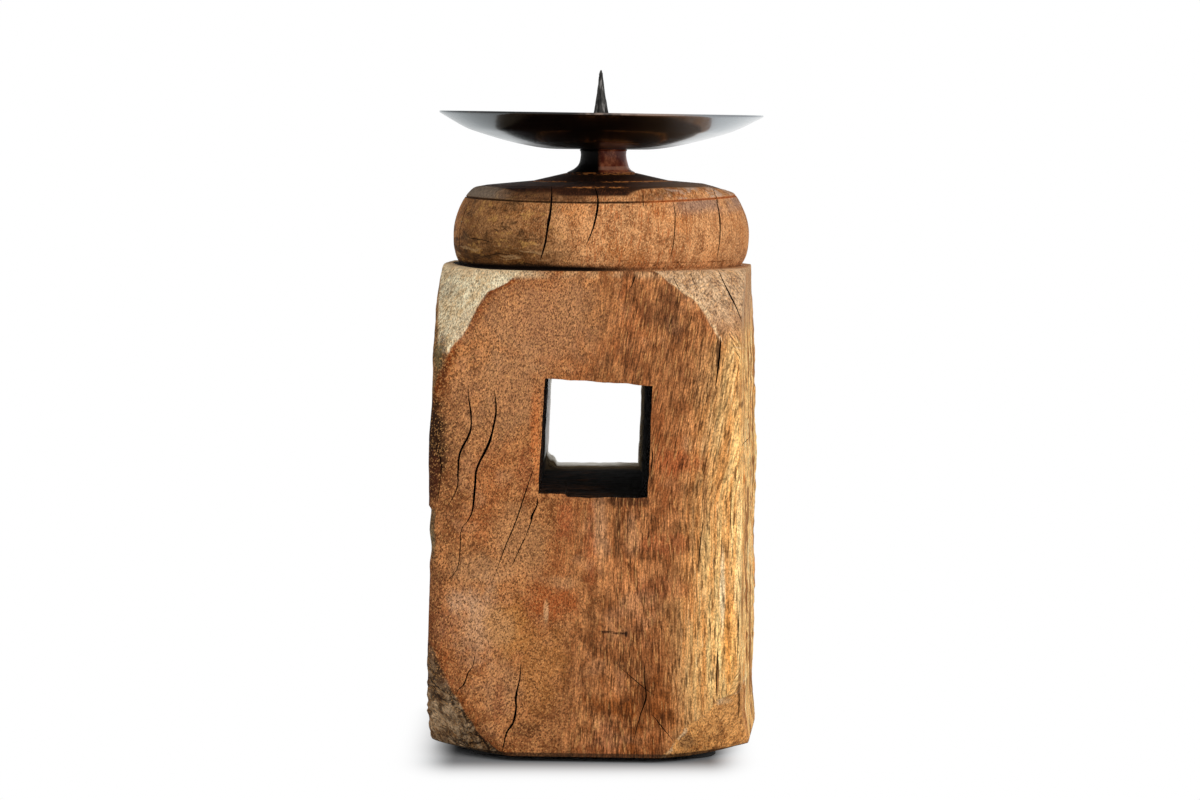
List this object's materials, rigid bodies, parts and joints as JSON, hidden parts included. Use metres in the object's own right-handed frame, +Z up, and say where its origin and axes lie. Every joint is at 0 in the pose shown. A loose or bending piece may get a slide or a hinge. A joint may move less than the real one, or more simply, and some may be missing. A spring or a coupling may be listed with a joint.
{
  "type": "candle holder",
  "caption": "Rustic pricket candle holder: square mortised timber post turned into a round bead and neck, with a shallow iron drip pan and a forged spike for a pillar candle.",
  "frame": {"origin": "on the turning axis, in the plane that the pads stand on", "axes": "+Z up along the turning axis, +Y along the mortise from the front to the back, +X to the right seen from the front"},
  "size_m": [0.1206, 0.1206, 0.2491],
  "materials": {
    "old_timber": "bare weathered hardwood, waxed; dark lacquer on the cap and neck",
    "dark_iron": "black-brown lacquer, glossy",
    "forged_iron": "forged, dark scale",
    "black_rubber": "matt",
    "nail_steel": "bright"
  },
  "bodies": {
    "root": {"turned_post": "old_timber", "drip_pan": "dark_iron", "pricket_spike": "forged_iron", "foot_pad_front_left": "black_rubber", "foot_pad_front_right": "black_rubber", "foot_pad_back_left": "black_rubber", "foot_pad_back_right": "black_rubber", "foot_nail_front_left": "nail_steel", "foot_nail_front_right": "nail_steel", "foot_nail_back_left": "nail_steel", "foot_nail_back_right": "nail_steel"}
  },
  "joints": []
}
